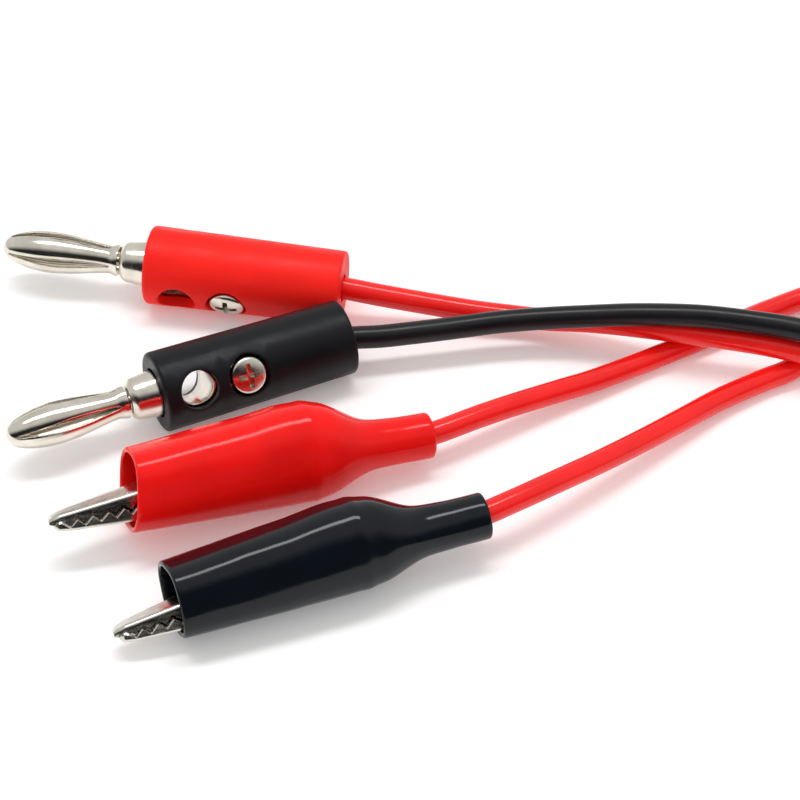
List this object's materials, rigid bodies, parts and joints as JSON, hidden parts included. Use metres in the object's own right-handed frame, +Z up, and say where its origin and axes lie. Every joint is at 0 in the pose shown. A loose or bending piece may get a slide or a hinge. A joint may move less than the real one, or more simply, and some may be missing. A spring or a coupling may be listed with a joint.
{
  "type": "bench test leads",
  "caption": "Pair of bench test leads, red and black: slotted-cage banana plug with side screw to a booted alligator clip on thin round cord, spare cord coiled.",
  "frame": {"origin": "on the surface the leads lie on, under the middle of the box round the two plugs and the two clips, the cords and coils left out", "axes": "+Z up; +Y from the clips' end of the group to the red plug's end; +X from the plugs' and clips' working ends towards the spare coils"},
  "size_m": [0.1641, 0.0751, 0.013],
  "materials": {
    "red_cord": "smooth flexible PVC jacket, semi-gloss",
    "black_cord": "smooth flexible PVC jacket, semi-gloss",
    "red_sleeve": "moulded plastic, satin to gloss",
    "black_sleeve": "moulded plastic, satin to gloss",
    "red_boot": "dipped soft PVC, high gloss",
    "black_boot": "dipped soft PVC, high gloss",
    "copper_wire": "bare stranded copper",
    "plug_barrel": "nickel-plated brass, turned",
    "plug_contact": "nickel-plated spring metal",
    "screw": "nickel-plated, turned",
    "jaw": "nickel-plated pressed steel",
    "small_steel": "plated steel",
    "splice_sleeve": "heat-shrink tube, matte",
    "coil_tie": "woven hook-and-loop tape"
  },
  "bodies": {
    "leads": {"red_plug_sleeve": "red_sleeve", "red_plug_barrel": "plug_barrel", "red_plug_core_pin": "plug_contact", "red_plug_conductor": "copper_wire", "black_plug_sleeve": "black_sleeve", "black_plug_barrel": "plug_barrel", "black_plug_core_pin": "plug_contact", "black_plug_conductor": "copper_wire", "red_clip_boot": "red_boot", "red_clip_lower_jaw": "jaw", "red_clip_rivet": "small_steel", "red_clip_conductor": "copper_wire", "red_clip_torsion_spring": "small_steel", "black_clip_boot": "black_boot", "black_clip_lower_jaw": "jaw", "black_clip_rivet": "small_steel", "black_clip_conductor": "copper_wire", "black_clip_torsion_spring": "small_steel", "red_plug_cord": "red_cord", "red_clip_cord": "red_cord", "red_coil": "red_cord", "black_plug_cord": "black_cord", "black_coil": "black_cord", "black_coil_tail": "black_cord", "splice_sleeve": "splice_sleeve", "black_clip_cord": "red_cord", "coil_tie": "coil_tie"},
    "red_plug_cage": {"red_plug_spring_cage": "plug_contact"},
    "red_plug_screw": {"red_plug_clamp_screw": "screw"},
    "black_plug_cage": {"black_plug_spring_cage": "plug_contact"},
    "black_plug_screw": {"black_plug_clamp_screw": "screw"},
    "red_clip_jaw": {"red_clip_upper_jaw": "jaw"},
    "black_clip_jaw": {"black_clip_upper_jaw": "jaw"}
  },
  "joints": [
    {"name": "red_plug_cage_spin", "type": "hinge", "parent": "leads", "child": "red_plug_cage", "pos_m": [-0.02102, 0.02802, 0.00485], "axis": [-0.9861, 0.1657, 0.0127], "continuous": true},
    {"name": "red_plug_screw_travel", "type": "slide", "parent": "leads", "child": "red_plug_screw", "axis": [-0.1592, -0.9199, -0.3583], "range_m": [0, 0.0025]},
    {"name": "black_plug_cage_spin", "type": "hinge", "parent": "leads", "child": "black_plug_cage", "pos_m": [-0.01829, 0.00047, 0.00485], "axis": [-0.9122, -0.4096, 0.0127], "continuous": true},
    {"name": "black_plug_screw_travel", "type": "slide", "parent": "leads", "child": "black_plug_screw", "axis": [0.3605, -0.7874, 0.5], "range_m": [0, 0.0025]},
    {"name": "red_clip_jaw_hinge", "type": "hinge", "parent": "leads", "child": "red_clip_jaw", "pos_m": [-0.00225, -0.00992, 0.00506], "axis": [-0.3185, 0.8065, -0.4981], "range_deg": [0, 18], "stiffness_Nm_per_rad": 0.03, "springref_deg": -51.57, "deforming": ["red_clip_torsion_spring", "red_clip_boot"]},
    {"name": "black_clip_jaw_hinge", "type": "hinge", "parent": "leads", "child": "black_clip_jaw", "pos_m": [0.00546, -0.02314, 0.00389], "axis": [-0.2815, 0.819, -0.5], "range_deg": [0, 18], "stiffness_Nm_per_rad": 0.03, "springref_deg": -51.57, "deforming": ["black_clip_torsion_spring", "black_clip_boot"]}
  ]
}
